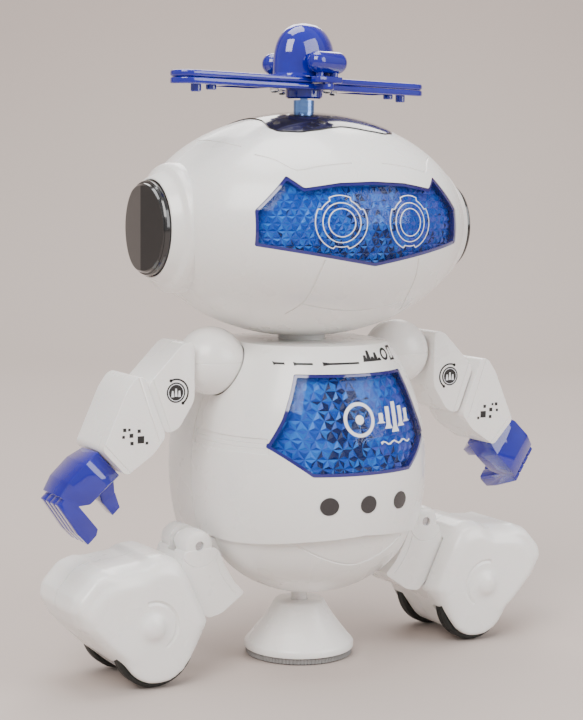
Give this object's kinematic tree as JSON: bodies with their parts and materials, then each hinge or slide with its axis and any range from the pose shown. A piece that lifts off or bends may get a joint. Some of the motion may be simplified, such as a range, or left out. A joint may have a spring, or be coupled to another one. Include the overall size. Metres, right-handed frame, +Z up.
{
  "type": "toy robot",
  "caption": "Round-headed toy robot with a spinning head rotor, jointed arms, wheeled boots and a geared stand that the whole figure turns on.",
  "frame": {"origin": "centre of the stand's underside, on the axis that the robot spins about", "axes": "+Z up along the spin axis, the face looks along -Y, +X is the robot's left"},
  "size_m": [0.1903, 0.0965, 0.215],
  "materials": {
    "white_shell": "glossy moulded plastic",
    "blue_lens": "clear tinted plastic with moulded facets behind it",
    "blue_reflector": "bright vacuum-coated plastic",
    "circuit_board": "solder-masked board",
    "black_gloss": "glossy moulded plastic",
    "black_matte": "matte",
    "chrome_screw": "polished",
    "blue_metal": "metallic lacquer",
    "violet_plastic": "tinted translucent plastic",
    "grey_plastic": "as moulded",
    "cell_jacket": "satin jacket",
    "steel_pin": "drawn wire and pressed sheet",
    "brass_gear": "machined",
    "nylon_gear": "as moulded",
    "grey_rubber": "matt with a fine toothed edge",
    "wheel_rubber": "satin"
  },
  "bodies": {
    "torso": {"torso_front_shell": "white_shell", "torso_rear_shell": "white_shell", "pelvis_shell": "white_shell", "chest_lens": "blue_lens", "chest_reflector": "blue_reflector", "chest_light_board": "circuit_board", "main_board": "circuit_board", "speaker": "black_matte", "battery_box": "grey_plastic", "battery_cells": "cell_jacket", "battery_contacts": "steel_pin", "gearbox_frame": "grey_plastic", "drive_motor": "steel_pin", "torso_screws": "chrome_screw", "belly_studs": "black_gloss", "hip_pins": "steel_pin"},
    "door": {"battery_door": "white_shell", "door_screw": "chrome_screw"},
    "switch": {"switch_knob": "violet_plastic"},
    "head": {"head_front_shell": "white_shell", "head_rear_shell": "white_shell", "visor_lens": "blue_lens", "visor_reflector": "blue_reflector", "eye_light_board": "circuit_board", "crown_plate": "black_gloss", "ear_housings": "white_shell", "ear_caps": "black_gloss", "head_screws": "chrome_screw", "neck_post": "white_shell", "rotor_post": "blue_metal"},
    "rotor": {"rotor_lower_shell": "violet_plastic", "rotor_upper_shell": "violet_plastic", "rotor_pods": "violet_plastic", "rotor_screws": "chrome_screw"},
    "stand": {"output_gear": "nylon_gear", "drive_shaft": "white_shell", "base_cone": "white_shell", "base_pad": "grey_rubber"},
    "idler": {"idler_gear": "nylon_gear"},
    "pinion": {"motor_pinion": "brass_gear"},
    "arm_right": {"shoulder_ball_right": "white_shell", "upper_arm_right": "white_shell"},
    "forearm_body_right": {"forearm_right": "white_shell", "elbow_pin_right": "steel_pin"},
    "hand_body_right": {"hand_right": "violet_plastic"},
    "leg_right": {"thigh_right": "white_shell", "boot_front_right": "white_shell", "boot_rear_right": "white_shell"},
    "rollers_right": {"wheels_right": "wheel_rubber", "axle_right": "steel_pin"},
    "arm_left": {"shoulder_ball_left": "white_shell", "upper_arm_left": "white_shell"},
    "forearm_body_left": {"forearm_left": "white_shell", "elbow_pin_left": "steel_pin"},
    "hand_body_left": {"hand_left": "violet_plastic"},
    "leg_left": {"thigh_left": "white_shell", "boot_front_left": "white_shell", "boot_rear_left": "white_shell"},
    "rollers_left": {"wheels_left": "wheel_rubber", "axle_left": "steel_pin"}
  },
  "joints": [
    {"name": "head_turn", "type": "hinge", "parent": "torso", "child": "head", "pos_m": [0, 0, 0.109], "axis": [0, 0, 1], "range_deg": [-80, 80]},
    {"name": "rotor_spin", "type": "hinge", "parent": "head", "child": "rotor", "pos_m": [0, 0, 0.192], "axis": [0, 0, 1], "continuous": true},
    {"name": "stand_spin", "type": "hinge", "parent": "torso", "child": "stand", "pos_m": [0, 0, 0.02], "axis": [0, 0, 1], "continuous": true},
    {"name": "idler_spin", "type": "hinge", "parent": "torso", "child": "idler", "pos_m": [0.01584, -0.01584, 0.04], "axis": [0, 0, 1], "continuous": true},
    {"name": "pinion_spin", "type": "hinge", "parent": "torso", "child": "pinion", "pos_m": [0.00545, -0.02184, 0.04], "axis": [0, 0, 1], "continuous": true},
    {"name": "door_slide", "type": "slide", "parent": "torso", "child": "door", "axis": [0, 1, 0], "range_m": [0, 0.03]},
    {"name": "switch_slide", "type": "slide", "parent": "torso", "child": "switch", "axis": [0, 0, 1], "range_m": [-0.002, 0.002]},
    {"name": "shoulder_right", "type": "hinge", "parent": "torso", "child": "arm_right", "pos_m": [-0.0364, -0.003, 0.1032], "axis": [1, 0, 0], "range_deg": [-170, 60]},
    {"name": "elbow_right", "type": "hinge", "parent": "arm_right", "child": "forearm_body_right", "pos_m": [-0.06035, -0.003, 0.0892], "axis": [-0.9304, 0, -0.3665], "range_deg": [-120, 120]},
    {"name": "wrist_right", "type": "hinge", "parent": "forearm_body_right", "child": "hand_body_right", "pos_m": [-0.0757, -0.003, 0.0733], "axis": [-0.7242, 0, -0.6896], "range_deg": [-120, 120]},
    {"name": "hip_right", "type": "hinge", "parent": "torso", "child": "leg_right", "pos_m": [-0.0446, -0.002, 0.0434], "axis": [0, 1, 0], "range_deg": [0, 10]},
    {"name": "roller_spin_right", "type": "hinge", "parent": "leg_right", "child": "rollers_right", "pos_m": [-0.0625, -0.002, 0.014], "axis": [0, 1, 0], "continuous": true},
    {"name": "shoulder_left", "type": "hinge", "parent": "torso", "child": "arm_left", "pos_m": [0.0364, -0.003, 0.1032], "axis": [1, 0, 0], "range_deg": [-170, 60]},
    {"name": "elbow_left", "type": "hinge", "parent": "arm_left", "child": "forearm_body_left", "pos_m": [0.06035, -0.003, 0.0892], "axis": [0.9304, 0, -0.3665], "range_deg": [-120, 120]},
    {"name": "wrist_left", "type": "hinge", "parent": "forearm_body_left", "child": "hand_body_left", "pos_m": [0.0757, -0.003, 0.0733], "axis": [0.7242, 0, -0.6896], "range_deg": [-120, 120]},
    {"name": "hip_left", "type": "hinge", "parent": "torso", "child": "leg_left", "pos_m": [0.0446, -0.002, 0.0434], "axis": [0, -1, 0], "range_deg": [0, 10]},
    {"name": "roller_spin_left", "type": "hinge", "parent": "leg_left", "child": "rollers_left", "pos_m": [0.0625, -0.002, 0.014], "axis": [0, 1, 0], "continuous": true}
  ],
  "couplings": [
    {"joint": "idler_spin", "follows": "stand_spin", "ratio": -1.8},
    {"joint": "pinion_spin", "follows": "stand_spin", "ratio": 3.6}
  ]
}
